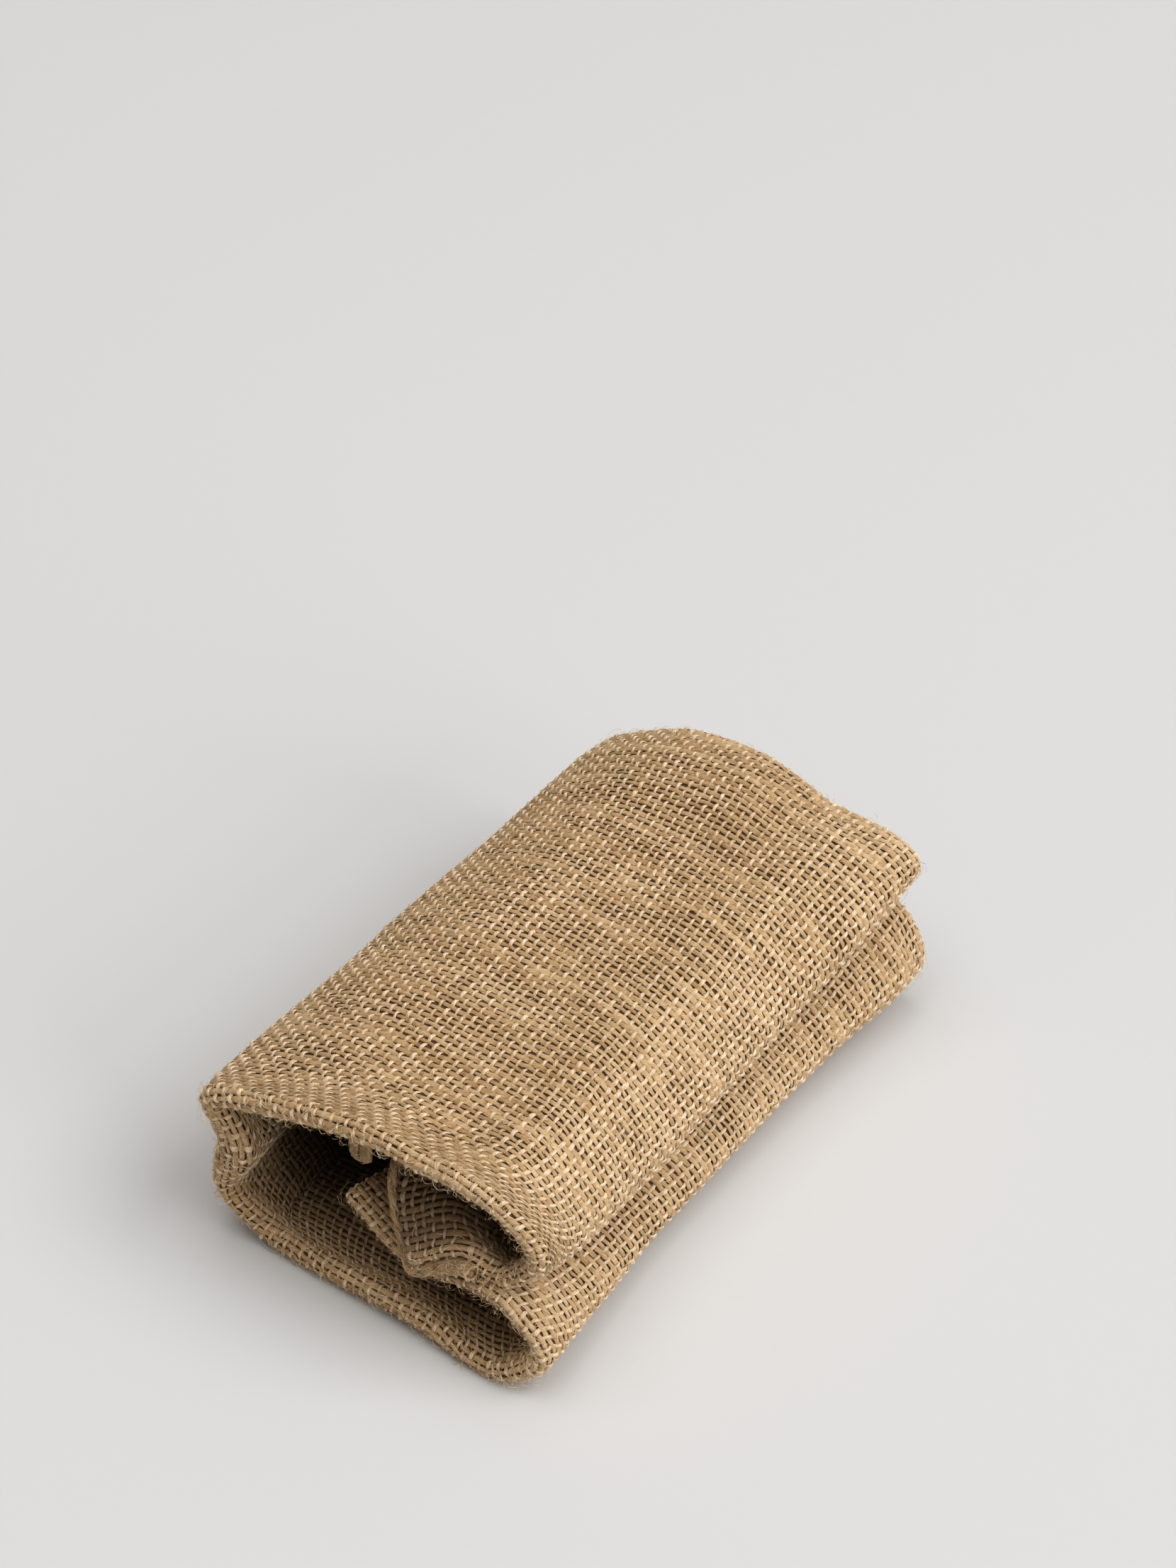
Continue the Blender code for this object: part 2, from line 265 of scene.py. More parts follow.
def foldNet(offset):
    y = np.arange(fold["nearY"], fold["farY"] + 0.01, net["rowStep"])
    places = np.linspace(0, lastBend, lastBend * net["placeSteps"] + 1)
    middle = middleLayer(y, places)
    out = unit(np.cross(np.gradient(middle, axis=0), np.gradient(middle, axis=1)))
    fromEnd = np.minimum(y - fold["nearY"], fold["farY"] - y)[:, None]
    height = net["wrinkles"] + net["rimWaves"] * smooth(1 - fromEnd / net["rimReach"])
    place, run = np.meshgrid(places, y)
    bends, length = net["slowWaves"]
    wave = waveNoise(place * bends, run / length, 3)
    bends, length = net["quickWaves"]
    wave = wave + net["quickShare"] * waveNoise(place * bends + net["quickShift"], run / length, 4)
    low, high = net["bottomPlaces"]
    flat = smooth((place - low) / net["bottomBlend"]) * smooth((high - place) / net["bottomBlend"])
    middle = middle + out * (height * wave * (1 - flat))[..., None]
    along = unit(np.gradient(middle, axis=0))
    across = unit(np.gradient(middle, axis=1))
    out = unit(np.cross(along, across))
    skin = middle + out * offset
    steps = np.linalg.norm(np.diff(skin, axis=1), axis=-1)
    lengths = np.concatenate([np.zeros((len(y), 1)), np.cumsum(steps, axis=1)], axis=1)
    return y, places, middle, along, across, out, lengths


y, places, middle, along, across, out, lengths = foldNet(net["faceOffset"])
flapEdge = {"middle": middle[:, 0], "across": across[:, 0], "out": out[:, 0]}
nearEnd = {"middle": middle[0], "along": along[0], "out": out[0]}
tuftRow = int(round((tuftRoot["y"] - fold["nearY"]) / net["rowStep"]))
tuftColumn = int(round(tuftRoot["place"] * net["placeSteps"]))
tuftTop = middle[tuftRow, tuftColumn] - out[tuftRow, tuftColumn] * tuftRoot["depth"]
clothWidth = float(lengths[:, -1].mean())
columns = np.arange(-net["edgeRun"], clothWidth + net["edgeRun"] + net["columnStep"], net["columnStep"])
shares = np.clip(columns / clothWidth, 0.0, 1.0)
placeAt = np.array([np.interp(shares * row[-1], row, places) for row in lengths])


def atColumns(field):
    low = np.minimum((placeAt * net["placeSteps"]).astype(int), field.shape[1] - 2)
    part = placeAt * net["placeSteps"] - low
    rows = np.arange(len(y))[:, None]
    return mix(field[rows, low], field[rows, low + 1], part[..., None])


middle = atColumns(middle)
along, across, out = [unit(atColumns(field)) for field in (along, across, out)]
fromDent = np.abs(placeAt - fold["dentPlace"]) / fold["buckleSpread"]
buckle = sizesAt(y)["buckle"][:, None] * (1.0 + np.cos(math.pi * np.minimum(fromDent, 1.0))) / 2
buckle = buckle[..., None]
edgeTurn = np.clip(np.maximum(-columns, columns - clothWidth) / net["edgeRun"], 0.0, 1.0) * math.pi / 2
edgeSide = np.where(columns < 0, -net["flapEdgeReach"], net["tailEdgeReach"])
edgeOut = (np.sin(edgeTurn) * edgeSide)[:, None]
edgeUp = np.cos(edgeTurn)[:, None]
print("fold net:", middle.shape, "cloth width", round(clothWidth, 1))


# the cloth's whole path: inner layer from far to near, near fold, outer layer, far fold, middle layer
def clothPath(offset):
    rows = []
    kinds = []
    puffs = offset + net["rimPuff"] * smooth(1 - (y - fold["nearY"]) / net["puffReach"])
    rimOffset = puffs[0]
    for row in range(len(y) - 1, -1, -1):
        rows.append(middle[row] - out[row] * (puffs[row] + buckle[row]) * edgeUp + across[row] * edgeOut)
        kinds.append("inner")
    for turn in np.linspace(math.pi, 0, net["nearFoldSteps"])[1:-1]:
        lift = rimOffset * math.cos(turn) - buckle[0] * (1 - math.cos(turn)) / 2
        rim = middle[0] + out[0] * lift * edgeUp + across[0] * edgeOut * abs(math.cos(turn))
        rows.append(rim - along[0] * rimOffset * math.sin(turn))
        kinds.append("nearFold")
    for row in range(len(y)):
        rows.append(middle[row] + out[row] * puffs[row] * edgeUp + across[row] * edgeOut)
        kinds.append("outer")
    radius = offset - fold["farFoldMiddle"]
    for turn in np.linspace(0, math.pi, net["farFoldSteps"])[1:-1]:
        lift = fold["farFoldMiddle"] + radius * math.cos(turn)
        rim = middle[-1] + out[-1] * lift * edgeUp + across[-1] * edgeOut * max(math.cos(turn), 0)
        rows.append(rim + along[-1] * radius * math.sin(turn))
        kinds.append("farFold")
    for row in range(len(y) - 1, -1, -1):
        if y[row] > fold["tuckY"]:
            rows.append(middle[row] + out[row] * (fold["farFoldMiddle"] - radius) * edgeUp)
            kinds.append("middle")
    return np.array(rows), kinds


path, pathKinds = clothPath(net["faceOffset"])
steps = np.linalg.norm(np.diff(path, axis=0), axis=-1)
run = np.concatenate([np.zeros((1, len(columns))), np.cumsum(steps, axis=0)], axis=0)
nearRow = pathKinds.index("nearFold") + pathKinds.count("nearFold") // 2
farRow = pathKinds.index("farFold") + pathKinds.count("farFold") // 2
outerRun = run[farRow] - run[nearRow]
run = (run - run[nearRow]) * (outerRun.mean() / outerRun) - outerRun.mean() / 2  # 0 at mid-length
runStart = run[0]
runs = np.arange(runStart.min(), run[-1].max() * net["wovenShare"], net["pathStep"])
surface = np.empty((len(runs), len(columns), 3))
for column in range(len(columns)):
    for axis in range(3):
        surface[:, column, axis] = np.interp(runs, run[:, column], path[:, column, axis])
normals = unit(np.cross(np.gradient(surface, axis=0), np.gradient(surface, axis=1)))


def inFrame(points):
    # kept above the floor, moved to the frame's origin and in metres
    points[:, 2] = np.maximum(points[:, 2], 0.0)
    return (points - fold["origin"]) * mm


def onCloth(u, s, h):
    # a point h above the outer face of the cloth, u across it and s along it, in metres
    column = np.clip((u - columns[0]) / net["columnStep"], 0, len(columns) - 1.001)
    row = np.clip((s - runs[0]) / net["pathStep"], 0, len(runs) - 1.001)
    i = row.astype(int)
    j = column.astype(int)
    a = (row - i)[:, None]
    b = (column - j)[:, None]

    def read(field):
        low = mix(field[i, j], field[i, j + 1], b)
        high = mix(field[i + 1, j], field[i + 1, j + 1], b)
        return mix(low, high, a)

    return inFrame(read(surface) + unit(read(normals)) * h[:, None])


def widthAt(place):
    # how far across the cloth a bend lies, at mid-length
    row = len(y) // 2
    return float(np.interp(place, placeAt[row], shares * clothWidth))


def select(*pieces):
    # these and nothing else, the first one active
    bpy.ops.object.select_all(action="DESELECT")
    for piece in pieces:
        piece.select_set(True)
    bpy.context.view_layer.objects.active = pieces[0] if pieces else None


def readPoints(mesh):
    values = np.empty(len(mesh.vertices) * 3)
    mesh.vertices.foreach_get("co", values)
    return values.reshape(-1, 3)


def writePoints(mesh, points):
    mesh.vertices.foreach_set("co", points.ravel())
    mesh.update()


def addGrid(name, columnCount, rowCount):
    select()
    bpy.ops.mesh.primitive_grid_add(x_subdivisions=columnCount, y_subdivisions=rowCount, size=1.0)
    piece = bpy.context.object
    piece.name = name
    piece.data.name = name
    return piece


def gridIndex(mesh, columnCount, rowCount):
    # the column and the row of each vertex of a fresh grid
    points = readPoints(mesh)
    i = np.rint((points[:, 0] + 0.5) * columnCount).astype(int)
    j = np.rint((points[:, 1] + 0.5) * rowCount).astype(int)
    return i, j


def copyInRow(piece, count, step, mergeDistance=0.0):
    array = piece.modifiers.new("copies", "ARRAY")
    array.count = count
    array.use_relative_offset = False
    array.use_constant_offset = True
    array.constant_offset_displace = step
    array.use_merge_vertices = mergeDistance > 0
    array.merge_threshold = mergeDistance
    select(piece)
    bpy.ops.object.modifier_apply(modifier=array.name)


def join(pieces, name):
    select(*pieces)
    bpy.ops.object.join()
    pieces[0].name = name
    pieces[0].data.name = name
    return pieces[0]


uvUnit = 10  # millimetres of yarn to one unit of its UV map


def setUv(mesh, uvOfVertex):
    layer = mesh.uv_layers.get("yarn") or mesh.uv_layers.new(name="yarn")
    corners = np.empty(len(mesh.loops), dtype=np.int32)
    mesh.loops.foreach_get("vertex_index", corners)
    layer.data.foreach_set("uv", uvOfVertex[corners].astype(np.float32).ravel())


def setShade(mesh, name, values):
    # "tone" is how pale each spot is; "depth" is how much painted shade darkens it inside the hollow
    layer = mesh.attributes.get(name) or mesh.attributes.new(name, "FLOAT", "POINT")
    layer.data.foreach_set("value", np.clip(values, 0, 1).astype(np.float32))


def shadeSmooth(piece):
    select(piece)
    bpy.ops.object.shade_smooth()


# materials: fibres run aslant along each yarn's UV map, and colour follows the fibres and the tone, then
# painted shade darkens it where the depth attribute says
fibreGrain = {
    "lie": {"Rotation": (0, 0, math.radians(22)), "Scale": (0.24, 0.018, 1.0)},
    "fibres": {"Scale": 1.0, "Detail": 4.0, "Roughness": 0.62},
    "patches": {"Scale": 2.6, "Detail": 2.0},
    "spread": {"From Min": 0.34, "From Max": 0.66},
    "patchShare": 0.22,
}


def setInputs(node, values):
    for name, value in values.items():
        node.inputs[name].default_value = value
    return node


def startGroup(name, inputs, outputs):
    group = bpy.data.node_groups.new(name, "ShaderNodeTree")
    for way, sockets in (("INPUT", inputs), ("OUTPUT", outputs)):
        for socketName, kind in sockets.items():
            group.interface.new_socket(socketName, in_out=way, socket_type="NodeSocket" + kind)
    return group, group.nodes.new("NodeGroupInput"), group.nodes.new("NodeGroupOutput")


def makeFibreGroup():
    inputs = {"Fibre Density": "Float", "Tone Weight": "Float", "Vector": "Vector", "Tone": "Float"}
    group, given, made = startGroup("juteFibre", inputs, {"Shade": "Float", "Height": "Float"})
    nodes = group.nodes
    link = group.links.new
    lie = setInputs(nodes.new("ShaderNodeMapping"), fibreGrain["lie"])
    lie.vector_type = "TEXTURE"  # turns first, so that the fibres run aslant round the yarn
    link(given.outputs["Vector"], lie.inputs["Vector"])
    density = nodes.new("ShaderNodeVectorMath")
    density.operation = "SCALE"
    link(lie.outputs["Vector"], density.inputs[0])
    link(given.outputs["Fibre Density"], density.inputs["Scale"])
    fibres = setInputs(nodes.new("ShaderNodeTexNoise"), fibreGrain["fibres"])
    link(density.outputs["Vector"], fibres.inputs["Vector"])
    patches = setInputs(nodes.new("ShaderNodeTexNoise"), fibreGrain["patches"])
    link(given.outputs["Vector"], patches.inputs["Vector"])
    spread = setInputs(nodes.new("ShaderNodeMapRange"), fibreGrain["spread"])
    link(fibres.outputs["Fac"], spread.inputs["Value"])
    toneMix = nodes.new("ShaderNodeMix")
    link(given.outputs["Tone Weight"], toneMix.inputs["Factor"])
    link(spread.outputs["Result"], toneMix.inputs["A"])
    link(given.outputs["Tone"], toneMix.inputs["B"])
    patchMix = setInputs(nodes.new("ShaderNodeMix"), {"Factor": fibreGrain["patchShare"]})
    link(toneMix.outputs["Result"], patchMix.inputs["A"])
    link(patches.outputs["Fac"], patchMix.inputs["B"])
    link(patchMix.outputs["Result"], made.inputs["Shade"])
    link(fibres.outputs["Fac"], made.inputs["Height"])
    return group


def makePaintedShadeGroup():
    # painted shade: darkens the jute as far as its depth in the hollow says, standing in for the shadow inside
    # it
    inputs = {"Depth": "Float", "Color": "Color", "Tint": "Color"}
    group, given, made = startGroup("paintedInsideShade", inputs, {"Color": "Color"})
    shaded = group.nodes.new("ShaderNodeMix")
    shaded.data_type = "RGBA"
    shaded.blend_type = "MULTIPLY"
    group.links.new(given.outputs["Depth"], shaded.inputs["Factor"])
    group.links.new(given.outputs["Color"], shaded.inputs["A"])
    group.links.new(given.outputs["Tint"], shaded.inputs["B"])
    group.links.new(shaded.outputs["Result"], made.inputs["Color"])
    return group


fibreGroup = makeFibreGroup()
paintedShadeGroup = makePaintedShadeGroup()


def juteMaterial(name, look):
    made = bpy.data.materials.new(name)
    made.use_nodes = True
    nodes = made.node_tree.nodes
    link = made.node_tree.links.new
    shader = setInputs(nodes["Principled BSDF"], look["surface"])
    yarnMap = nodes.new("ShaderNodeUVMap")
    yarnMap.uv_map = "yarn"
    tone = nodes.new("ShaderNodeAttribute")
    tone.attribute_name = "tone"
    fibre = nodes.new("ShaderNodeGroup")
    fibre.node_tree = fibreGroup
    setInputs(fibre, look["fibres"])
    link(yarnMap.outputs["UV"], fibre.inputs["Vector"])
    link(tone.outputs["Fac"], fibre.inputs["Tone"])
    ramp = nodes.new("ShaderNodeValToRGB")
    stops = ramp.color_ramp.elements
    stops.new(look["stops"][1])
    for stop, position, colour in zip(stops, look["stops"], look["colours"]):
        stop.position = position
        stop.color = (*colour, 1)
    link(fibre.outputs["Shade"], ramp.inputs["Fac"])
    # painted shade: the depth attribute darkens the colour towards the painted shade tint inside the hollow
    depth = nodes.new("ShaderNodeAttribute")
    depth.attribute_name = "depth"
    inside = nodes.new("ShaderNodeGroup")
    inside.node_tree = paintedShadeGroup
    setInputs(inside, {"Tint": (*look["paintedShadeTint"], 1)})
    link(depth.outputs["Fac"], inside.inputs["Depth"])
    link(ramp.outputs["Color"], inside.inputs["Color"])
    link(inside.outputs["Color"], shader.inputs["Base Color"])
    bump = setInputs(nodes.new("ShaderNodeBump"), look["bump"])
    link(fibre.outputs["Height"], bump.inputs["Height"])
    link(bump.outputs["Normal"], shader.inputs["Normal"])
    return made


warpLook = {
    "colours": ((0.24, 0.136, 0.06), (0.63, 0.425, 0.238), (0.96, 0.80, 0.60)),
    "stops": (0.14, 0.45, 0.8),
    # the colour that painted shade darkens the jute towards
    "paintedShadeTint": (0.09, 0.07, 0.05),
    "surface": {"Roughness": 0.78, "Specular IOR Level": 0.25, "Sheen Weight": 0.15, "Sheen Roughness": 0.45},
    "fibres": {"Fibre Density": 1.0, "Tone Weight": 0.45},
    "bump": {"Strength": 0.9, "Distance": 0.0004},
}
rougher = dict(warpLook["surface"], Roughness=0.85)
weftLook = dict(
    warpLook,
    colours=((0.20, 0.11, 0.045), (0.49, 0.315, 0.155), (0.81, 0.61, 0.385)),
    surface=rougher,
)
# the under cloth's dark colours are painted shade for the gaps between the yarns
paintedShadeUnderLook = dict(
    warpLook,
    colours=((0.035, 0.016, 0.006), (0.095, 0.05, 0.02), (0.22, 0.135, 0.06)),
    surface=dict(rougher, Roughness=0.9),
)
seamLook = dict(
    warpLook,
    colours=((0.17, 0.096, 0.042), (0.43, 0.275, 0.138), (0.72, 0.51, 0.31)),
    surface=rougher,
    fibres={"Fibre Density": 0.6, "Tone Weight": 0.45},
    bump={"Strength": 1.0, "Distance": 0.0007},
)
fibreLook = dict(
    warpLook,
    colours=((0.42, 0.28, 0.14), (0.72, 0.54, 0.32), (0.93, 0.80, 0.60)),
    surface=dict(warpLook["surface"], **{"Sheen Weight": 0.0}),
    bump={"Strength": 0.0, "Distance": 0.0004},
)
warpJute = juteMaterial("warp_jute", warpLook)
weftJute = juteMaterial("weft_jute", weftLook)
paintedShadeUnderJute = juteMaterial("under_jute_painted_shade", paintedShadeUnderLook)
seamJute = juteMaterial("seam_jute", seamLook)
print("materials made")


# the sack's cloth, one thin dark sheet in all its folds, seen between the yarns; its dark colour is painted
# shade in the gaps
sackCloth = {
    "offset": 2.25,  # how far its middle lies from the middle layer
    "rowsEvery": 10,
    "foldRowsEvery": 3,
    "columnWidth": 6.0,
    "thickness": 0.45,
    "tone": 0.5,
}


def makeSackCloth():
    rows, kinds = clothPath(sackCloth["offset"])
    kept = [0]
    for index in range(1, len(rows) - 1):
        every = sackCloth["foldRowsEvery"] if "Fold" in kinds[index] else sackCloth["rowsEvery"]
        if index - kept[-1] >= every or kinds[index] != kinds[index - 1]:
            kept.append(index)
    kept.append(len(rows) - 1)
    inside = np.flatnonzero((columns >= 0) & (columns <= clothWidth))
    count = int(clothWidth / sackCloth["columnWidth"])
    chosen = inside[np.rint(np.linspace(0, len(inside) - 1, count + 1)).astype(int)]
    cloth = addGrid("sack_cloth", count, len(kept) - 1)
    i, j = gridIndex(cloth.data, count, len(kept) - 1)
    writePoints(cloth.data, inFrame(rows[np.array(kept)[j], chosen[i]]))
    lengthsAlong = run[np.array(kept)[j], chosen[i]]
    setUv(cloth.data, np.stack([lengthsAlong, columns[chosen[i]]], axis=-1) / uvUnit)
    setShade(cloth.data, "tone", np.full(len(lengthsAlong), sackCloth["tone"]))
    select(cloth)
    thicken = cloth.modifiers.new("thickness", "SOLIDIFY")
    thicken.thickness = sackCloth["thickness"] * mm
    thicken.offset = 0.0
    bpy.ops.object.modifier_apply(modifier=thicken.name)
    shadeSmooth(cloth)
    cloth.data.materials.append(paintedShadeUnderJute)
    return cloth


cloth = makeSackCloth()
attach(cloth, "root")
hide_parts("bag_cloth")
print("sack cloth:", len(cloth.data.polygons), "faces")


# the woven yarns: one repeat of two by two yarns, copied over the cloth
weave = {
    "warpPitch": 3.47,
    "weftPitch": 2.56,
    "warpWidth": 1.3,
    "warpThickness": 0.95,
    "warpWave": 0.62,
    "weftWidth": 1.86,
    "weftThickness": 0.95,
    "weftWave": 0.24,
    "loopPower": 0.75,  # under 1, the loops are flatter on top than a sine wave
    "wrap": 100.0,  # degrees to each side that a yarn's face reaches
    "mergeDistance": 0.01,
    "innerNear": -37,  # where the blocks of repeats end, counted along from mid-length
    "outerNear": -25,
    "outerFar": 25,
}
# the rings of a yarn over one repeat, closer together where its loop shows
overRings = (0.0, 0.2, 0.4, 0.6, 0.8, 1.0, 1.5, 2.0)
underRings = (0.0, 0.5, 1.0, 1.2, 1.4, 1.6, 1.8, 2.0)
plainRings = (0.0, 0.5, 1.0, 1.5, 2.0)
fewRings = (0.0, 1.0, 2.0)
# the rings and facets of the two warps and the two wefts of the repeat
repeatYarns = {
    "full": {"warp": ((overRings, 3), (underRings, 3)), "weft": ((plainRings, 4), (plainRings, 4))},
    "light": {"warp": ((plainRings, 2), (plainRings, 2)), "weft": ((fewRings, 3), (fewRings, 3))},
}
# the warps are spaced so that whole repeats cross the cloth from edge to edge
weaveStart = -net["edgeRun"]
weaveWidth = clothWidth + 2 * net["edgeRun"]
cellsAcross = int(round(weaveWidth / (2 * weave["warpPitch"])))
weave["warpPitch"] *= weaveWidth / (cellsAcross * 2 * weave["warpPitch"])
repeatU = 2 * weave["warpPitch"]
repeatV = 2 * weave["weftPitch"]
foldRun = outerRun.mean() / 2  # how far from mid-length the near and far folds lie
widths = [widthAt(place) for place in range(lastBend + 1)]


def yarnStrip(kind, number, rings, facets):
    # one yarn's face over the repeat; number 0 goes over first, number 1 goes under first
    strip = addGrid(kind, facets, len(rings) - 1)
    i, j = gridIndex(strip.data, facets, len(rings) - 1)
    wrap = math.radians(weave["wrap"])
    angle = mix(-wrap, wrap, i / facets)
    side = np.sin(angle) * weave[kind + "Width"] / 2
    lift = np.cos(angle) * weave[kind + "Thickness"] / 2
    at = np.array(rings)[j]
    wave = np.sin(math.pi * at)
    wave = np.sign(wave) * np.abs(wave) ** weave["loopPower"] * weave[kind + "Wave"]
    if kind == "warp":
        height = wave if number == 0 else -wave
        u = (number + 0.5) * weave["warpPitch"] + side
        v = at * weave["weftPitch"]
    else:
        height = -wave if number == 0 else wave
        u = at * weave["warpPitch"]
        v = (number + 0.5) * weave["weftPitch"] - side
    writePoints(strip.data, np.stack([u, v, height + lift], -1))
    about = strip.data.attributes.new("about", "FLOAT_VECTOR", "POINT")
    kindValue = 0.0 if kind == "warp" else 1.0
    about.data.foreach_set("vector", np.stack([side, lift, kindValue + 0 * side], -1).ravel())
    strip.data.materials.append(warpJute if kind == "warp" else weftJute)
    return strip


def weaveBlock(first, last, low, high, detail):
    # copies of the repeat over cells first to last across and low to high along
    strips = []
    for kind, twoYarns in repeatYarns[detail].items():
        for number, (rings, facets) in enumerate(twoYarns):
            strips.append(yarnStrip(kind, number, rings, facets))
    block = join(strips, "weave_repeat")
    points = readPoints(block.data)
    points[:, 0] += weaveStart + first * repeatU
    points[:, 1] += low * repeatV
    writePoints(block.data, points)
    copyInRow(block, last - first, (repeatU, 0, 0), weave["mergeDistance"])
    copyInRow(block, high - low, (0, repeatV, 0), weave["mergeDistance"])
    return block


# how the yarns differ; a run is the length in millimetres from one value of a noise to the next
yarns = {
    "warpWander": 0.3,
    "weftWander": 0.26,
    "wanderShares": (1.0, 0.5),
    "wanderRuns": (11, 3.7),
    "warpSlub": 0.24,
    "weftSlub": 0.3,
    "slubShares": (0.7, 0.6),
    "slubRuns": (17, 4.3),
    "thickness": 0.12,  # how much whole yarns differ
    "roughen": 0.2,  # unevenness from one ring of a yarn to the next
    "roughRun": 0.9,
    "facetKeys": (9, 53),  # give each facet its own noise
    "loopSpread": 0.22,  # how much the warp's loops differ in height
    "drift": 1.2,  # slow wander of the whole weave
    "driftRuns": ((46, 60), (55, 44)),
    "foldDrift": 1.7,  # more of it at the near and far folds
    "foldDriftRuns": (21, 60),
    "foldDriftReach": 30,
    "rimReach": 13.0,
    "rimFullness": 0.16,  # how much thicker the yarns lie at the rims of the top
    "topPlaces": (3.4, 8.6),
    "innerThinness": 0.1,
    "innerBlend": 8,
    "weftNumbers": 4000,  # keeps the wefts' noise apart from the warps'
    "uvSteps": (3.1, 0.37),  # move each yarn to its own part of the fibre pattern
    "uvCycles": (97, 31),
}
shades = {
    "tone": 0.5,
    "toneSpreads": (0.22, 0.16, 0.12),
    "toneRuns": (40, 6),
    "paintedWarpLoopLight": 0.4,  # painted highlight: how much paler the tops of the loops are, and painted shade: how much darker they are where they dive under
    "paintedWeftLoopLight": 0.12,
    "foldFuzzAndPaintedLight": 0.26,  # how much paler the round folds are: partly paler loose fibres, partly painted light where they face the lamps and painted reflection of the floor
    "foldPlaces": (3.6, 14.4),
    "foldSpread": 1.6,
    "paintedInsideShade": 0.97,  # painted shade: how much darker the cloth is painted deep in the hollow, where the shadow falls
    "insideReach": 62,
    # painted shade on the flap's face just inside the near mouth
    "paintedFlapShade": 0.72,
    "flapEnd": 3.4,
    "flapBlend": 1.2,
    "flapReach": 14,
}


def twoNoises(number, t, shares, runs, seed):
    slow = shares[0] * yarnNoise(number, t / runs[0], seed)
    return slow + shares[1] * yarnNoise(number, t / runs[1], seed + 1)


def shadeYarns(mesh, number, warp, t, v, wave, place):
    # tone: random differences between yarns, painted highlight on the loops' tops and painted shade where they
    # dive, and folds paler partly from painted light; depth: painted shade inside the hollow and on the flap
    spreads = shades["toneSpreads"]
    tone = shades["tone"] + spreads[0] * yarnNoise(number, t / shades["toneRuns"][0], 7)
    tone = tone + spreads[1] * yarnNoise(number, t / shades["toneRuns"][1], 8)
    tone = tone + spreads[2] * yarnNoise(number, 0 * t, 9)
    # painted highlight on the loops' tops and painted shade where the yarns dive under the others
    warpLoopLight = shades["paintedWarpLoopLight"] * np.clip(wave / weave["warpWave"], -1, 1)
    weftLoopLight = shades["paintedWeftLoopLight"] * np.clip(wave / weave["weftWave"], -1, 1)
    tone = tone + np.where(warp, warpLoopLight, weftLoopLight)
    # paler round folds: partly loose fibres, partly painted light and painted floor reflection
    upper, lower = [smooth(1 - np.abs(place - at) / shades["foldSpread"]) for at in shades["foldPlaces"]]
    setShade(mesh, "tone", tone + shades["foldFuzzAndPaintedLight"] * (upper + lower))
    # painted shade deep in the hollow and on the flap, where the shadow falls
    fromEnds = np.minimum(-foldRun - v, v - runStart.mean())
    deep = shades["paintedInsideShade"] * smooth(fromEnds / shades["insideReach"])
    onFlap = shades["paintedFlapShade"] * smooth((shades["flapEnd"] - place) / shades["flapBlend"])
    setShade(mesh, "depth", np.maximum(deep, onFlap * smooth(fromEnds / shades["flapReach"])))


def layYarns(piece):
    # bends the flat weave over the cloth and makes each yarn differ from the others
    mesh = piece.data
    points = readPoints(mesh)
    about = np.empty(len(mesh.vertices) * 3)
    mesh.attributes["about"].data.foreach_get("vector", about)
    side, lift, kind = about.reshape(-1, 3).T
    warp = kind < 0.5
    u = points[:, 0]
    v = points[:, 1]
    wave = points[:, 2] - lift
    warpNumber = np.floor((u - side - weaveStart) / weave["warpPitch"])
    weftNumber = np.floor((v + side) / weave["weftPitch"]) + yarns["weftNumbers"]
    number = np.where(warp, warpNumber, weftNumber)
    t = np.where(warp, v, u)
    place = np.interp(u, widths, np.arange(lastBend + 1))
    atRim = smooth(1 - np.abs(np.abs(v) - foldRun) / yarns["rimReach"])
    onTop = smooth(place - yarns["topPlaces"][0]) * smooth(yarns["topPlaces"][1] - place)
    within = smooth((-foldRun - v) / yarns["innerBlend"])
    facet = np.rint(side * yarns["facetKeys"][0]).astype(int) * yarns["facetKeys"][1]
    slub = twoNoises(number, t, yarns["slubShares"], yarns["slubRuns"], 1)
    slub = 1 + np.where(warp, yarns["warpSlub"], yarns["weftSlub"]) * slub
    slub = slub * (1 + yarns["thickness"] * yarnNoise(number, 0 * t, 3))
    slub = slub * (1 + yarns["rimFullness"] * atRim * onTop)
    slub = slub * (1 - yarns["innerThinness"] * within)
    slub = slub * (1 + yarns["roughen"] * yarnNoise(number + facet, t / yarns["roughRun"], 10))
    wander = twoNoises(number, t, yarns["wanderShares"], yarns["wanderRuns"], 4)
    newSide = side * slub + np.where(warp, yarns["warpWander"], yarns["weftWander"]) * wander
    newU = np.where(warp, u - side + newSide, u)
    newV = np.where(warp, v, v + side - newSide)
    (acrossU, alongU), (acrossV, alongV) = yarns["driftRuns"]
    newU = newU + yarns["drift"] * waveNoise(u / acrossU, v / alongU, 1)
    newV = newV + yarns["drift"] * waveNoise(u / acrossV, v / alongV, 2)
    atFold = smooth(1 - np.abs(np.abs(v) - foldRun) / yarns["foldDriftReach"])
    foldU, foldV = yarns["foldDriftRuns"]
    newV = newV + yarns["foldDrift"] * atFold * waveNoise(u / foldU, v / foldV, 7)
    loops = 1 + yarns["loopSpread"] * yarnNoise(number, t / weave["weftPitch"], 6)
    height = wave * np.where(warp, loops, 1) + lift * slub
    writePoints(mesh, onCloth(newU, newV, height))
    shadeYarns(mesh, number, warp, t, v, wave, place)
    stepT, stepSide = yarns["uvSteps"]
    cycleT, cycleSide = yarns["uvCycles"]
    uvT = t / uvUnit + stepT * (number % cycleT)
    setUv(mesh, np.stack([uvT, side / uvUnit + stepSide * (number % cycleSide)], -1))
    mesh.attributes.remove(mesh.attributes["about"])


def cellAt(place):
    if place <= 0:
        return 0
    if place >= lastBend:
        return cellsAcross
    return int(round((widthAt(place) - weaveStart) / repeatU))


